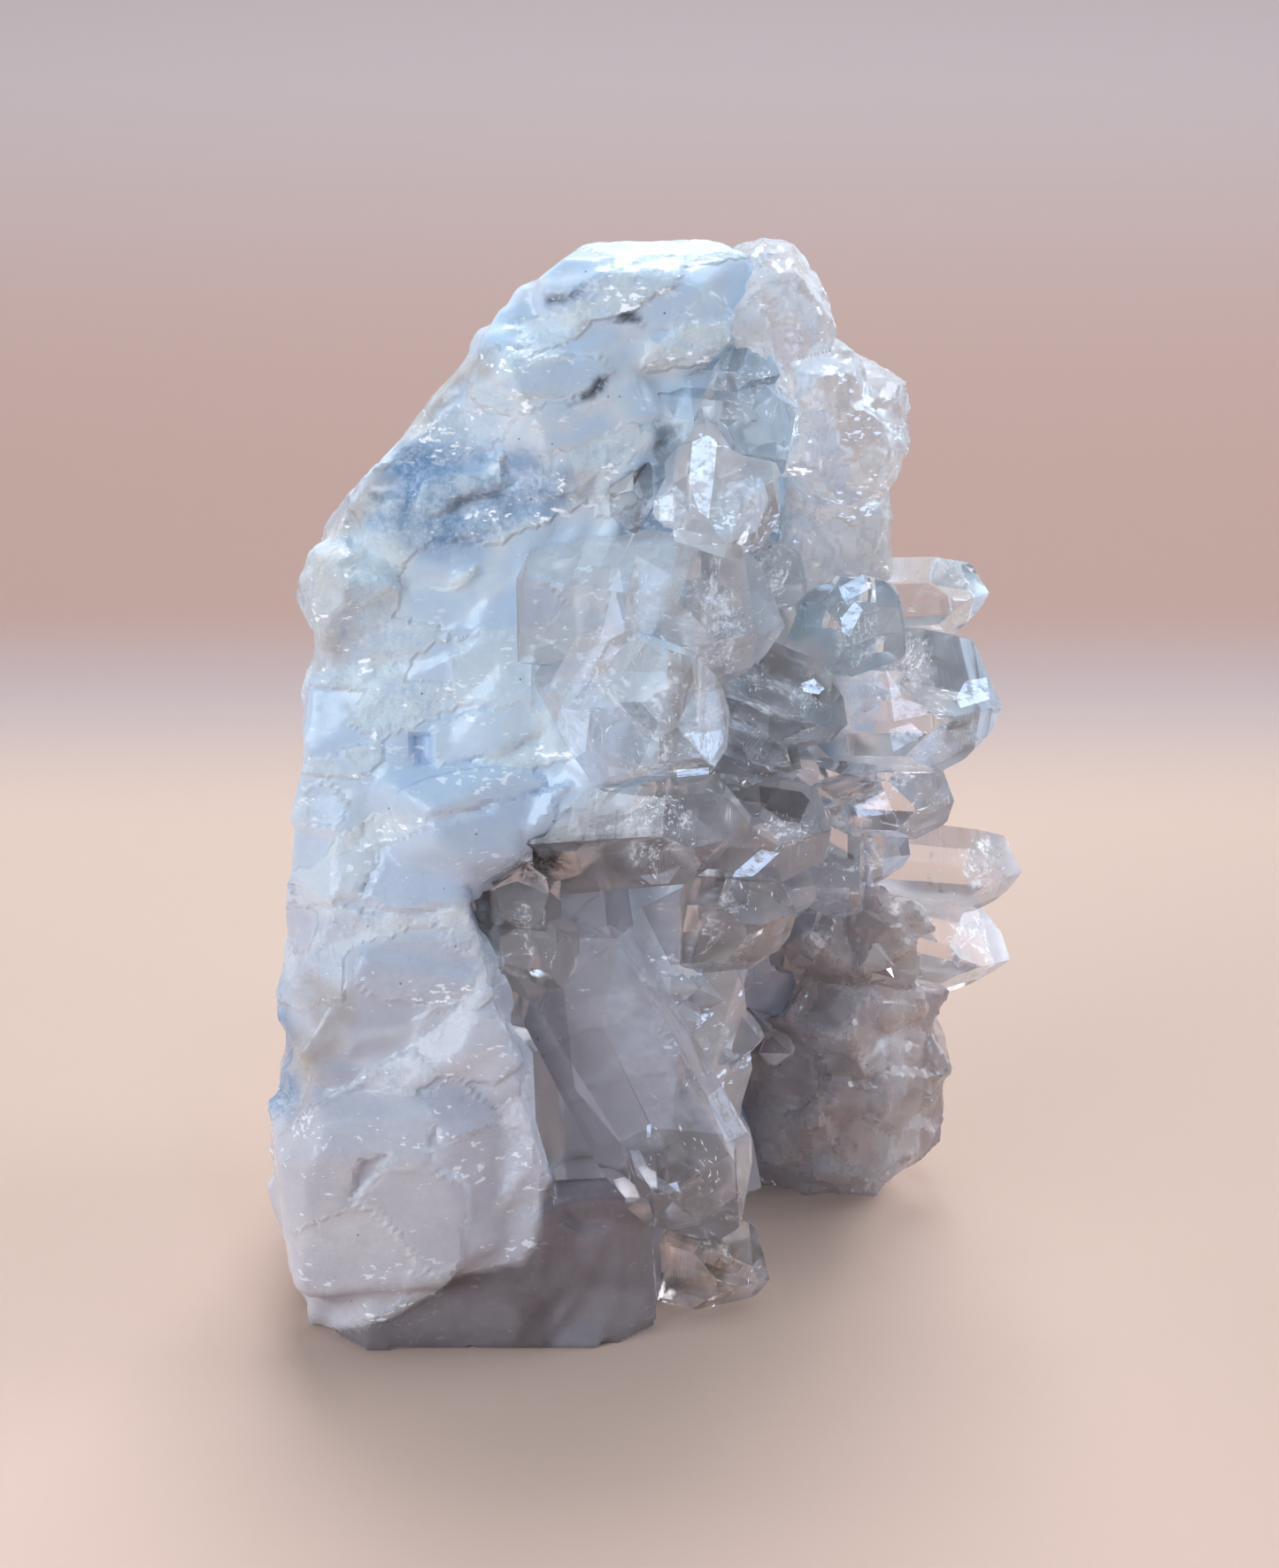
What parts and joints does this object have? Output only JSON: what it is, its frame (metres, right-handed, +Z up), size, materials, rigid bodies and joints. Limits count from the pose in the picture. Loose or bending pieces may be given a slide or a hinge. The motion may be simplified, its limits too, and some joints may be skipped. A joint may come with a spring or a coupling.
{
  "type": "quartz crystal cluster",
  "caption": "Natural cluster of clear pointed quartz crystals on a slab of milky quartz that stands upright on a flat foot.",
  "frame": {"origin": "middle of the lowest face of the bounding box, on the surface that the cluster stands on", "axes": "+Z up; +X towards the side that the crystals point to; -Y towards the broken front end"},
  "size_m": [0.0664, 0.052, 0.0905],
  "materials": {
    "milky_quartz": "satin",
    "clear_quartz": "gloss",
    "hazy_quartz": "gloss",
    "smoky_quartz": "gloss"
  },
  "bodies": {
    "root": {"milky_slab": "milky_quartz", "front_twin": "clear_quartz", "window_crystal": "clear_quartz", "leaning_crystal": "clear_quartz", "floor_crystal": "clear_quartz", "long_front_crystal": "clear_quartz", "dark_tip_crystal": "clear_quartz", "lens_crystals": "clear_quartz", "slate_crystal": "clear_quartz", "smoky_crystals": "smoky_quartz", "shaded_crystal": "clear_quartz", "rounded_crystal": "clear_quartz", "small_round_crystals": "clear_quartz", "barrel_crystal": "clear_quartz", "high_right_crystals": "clear_quartz", "middle_right_crystals": "clear_quartz", "right_fingers": "clear_quartz", "recess_crystals": "clear_quartz", "lower_bank": "hazy_quartz", "top_crust": "hazy_quartz"}
  },
  "joints": []
}
